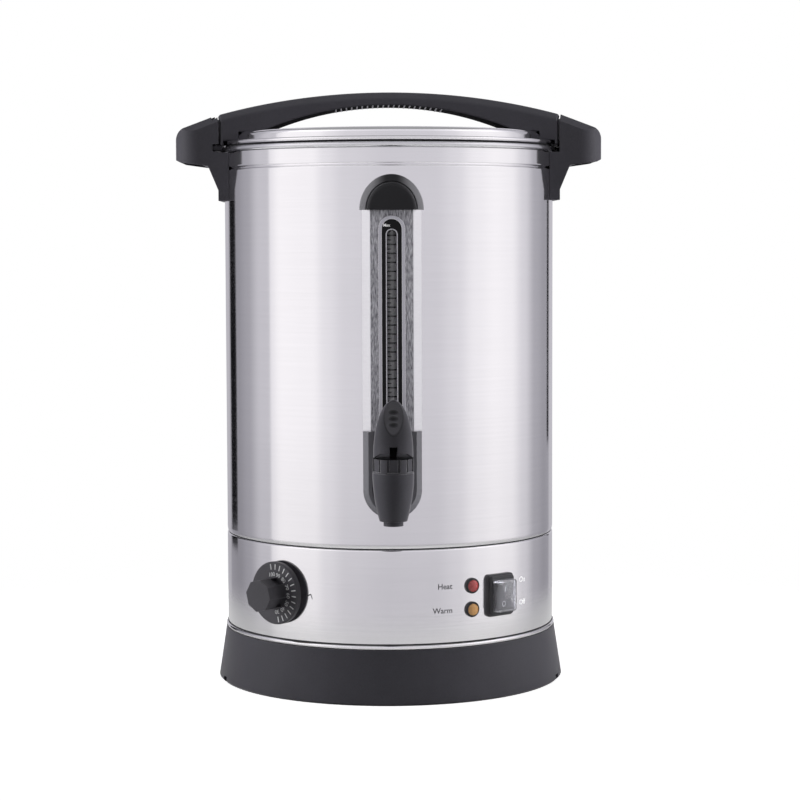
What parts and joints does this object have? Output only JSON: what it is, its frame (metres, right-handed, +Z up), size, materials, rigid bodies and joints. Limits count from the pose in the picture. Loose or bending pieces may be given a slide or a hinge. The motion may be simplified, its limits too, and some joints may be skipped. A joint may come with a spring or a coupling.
{
  "type": "coffee urn",
  "caption": "Upright steel coffee urn with a spring tap, sight gauge, thermostat dial, covered rocker switch, side handles and an arched twist-lock lid.",
  "frame": {"origin": "on the urn's vertical axis, on the surface it stands on", "axes": "+Z up, -Y out of the front where the tap is, +X to the right seen from the front"},
  "size_m": [0.3214, 0.3187, 0.4454],
  "materials": {
    "charcoal_plastic": "satin moulded",
    "black_plastic": "semi-gloss moulded",
    "polished_steel": "polished sheet",
    "tank_steel": "drawn sheet",
    "dark_steel": "painted sheet",
    "foot_rubber": "moulded",
    "seal_rubber": "silicone",
    "screw_steel": "plated",
    "heater_aluminium": "cast",
    "terminal_brass": "plain",
    "cream_plastic": "moulded",
    "red_lens": "clear tinted",
    "amber_lens": "clear tinted",
    "clear_cover": "flexible clear cover",
    "scale_black": "printed strip",
    "tube_glass": "clear tube"
  },
  "bodies": {
    "urn": {"base_skirt": "charcoal_plastic", "base_plate": "dark_steel", "base_feet": "foot_rubber", "base_screws": "screw_steel", "base_bead": "polished_steel", "lower_shell": "polished_steel", "upper_shell": "polished_steel", "tank": "tank_steel", "heater_plate": "heater_aluminium", "heater_terminals": "terminal_brass", "thermal_cutout": "black_plastic", "thermostat_body": "cream_plastic", "thermostat_nut": "terminal_brass", "thermostat_bulb": "terminal_brass", "lamp_bezels": "black_plastic", "lamp_lens_red": "red_lens", "lamp_lens_amber": "amber_lens", "lamp_nuts": "cream_plastic", "switch_housing": "black_plastic", "switch_cover": "clear_cover", "inlet_socket": "black_plastic", "inlet_pins": "terminal_brass", "inlet_screws": "screw_steel", "sight_cap": "black_plastic", "sight_channel": "polished_steel", "sight_scale": "scale_black", "sight_tube": "tube_glass", "sight_seals": "seal_rubber", "sight_screws": "screw_steel", "tap_escutcheon": "charcoal_plastic", "tap_body": "black_plastic", "tap_bonnet": "black_plastic", "tap_spacer": "cream_plastic", "tap_washer": "seal_rubber", "tap_nut": "screw_steel", "tap_spring": "screw_steel", "side_handle_left": "charcoal_plastic", "side_handle_right": "charcoal_plastic", "handle_screws": "screw_steel"},
    "tap_valve": {"tap_stem": "screw_steel", "tap_seal_cup": "seal_rubber", "tap_pin": "screw_steel"},
    "tap_lever": {"tap_lever": "black_plastic"},
    "dial": {"dial_knob": "black_plastic", "thermostat_shaft": "screw_steel"},
    "rocker": {"switch_rocker": "black_plastic"},
    "lid_lift": {"lid_seal": "seal_rubber"},
    "lid": {"lid_plate": "polished_steel", "lid_handle": "charcoal_plastic", "lid_screws": "screw_steel"}
  },
  "joints": [
    {"name": "lid_lift", "type": "slide", "parent": "urn", "child": "lid_lift", "axis": [0, 0, 1], "range_m": [0, 0.12]},
    {"name": "lid_turn", "type": "hinge", "parent": "lid_lift", "child": "lid", "pos_m": [0, 0, 0.405], "axis": [0, 0, 1], "range_deg": [-10, 0]},
    {"name": "tap_stem_slide", "type": "slide", "parent": "urn", "child": "tap_valve", "axis": [0, 0, 1], "range_m": [0, 0.0053], "deforming": ["tap_spring"]},
    {"name": "tap_lever_tilt", "type": "hinge", "parent": "tap_valve", "child": "tap_lever", "pos_m": [0, -0.167, 0.19095], "axis": [1, 0, 0], "range_deg": [0, 25], "stiffness_Nm_per_rad": 0.3, "springref_deg": -11.46},
    {"name": "dial_turn", "type": "hinge", "parent": "urn", "child": "dial", "pos_m": [-0.08201, -0.09434, 0.0775], "axis": [-0.6561, -0.7547, 0], "range_deg": [-99.6, 78.7]},
    {"name": "switch_rock", "type": "hinge", "parent": "urn", "child": "rocker", "pos_m": [0.07814, -0.09788, 0.0753], "axis": [0.7815, 0.6239, 0], "range_deg": [-16, 0]}
  ],
  "couplings": [
    {"joint": "tap_stem_slide", "follows": "tap_lever_tilt", "m_per_rad": 0.012}
  ]
}
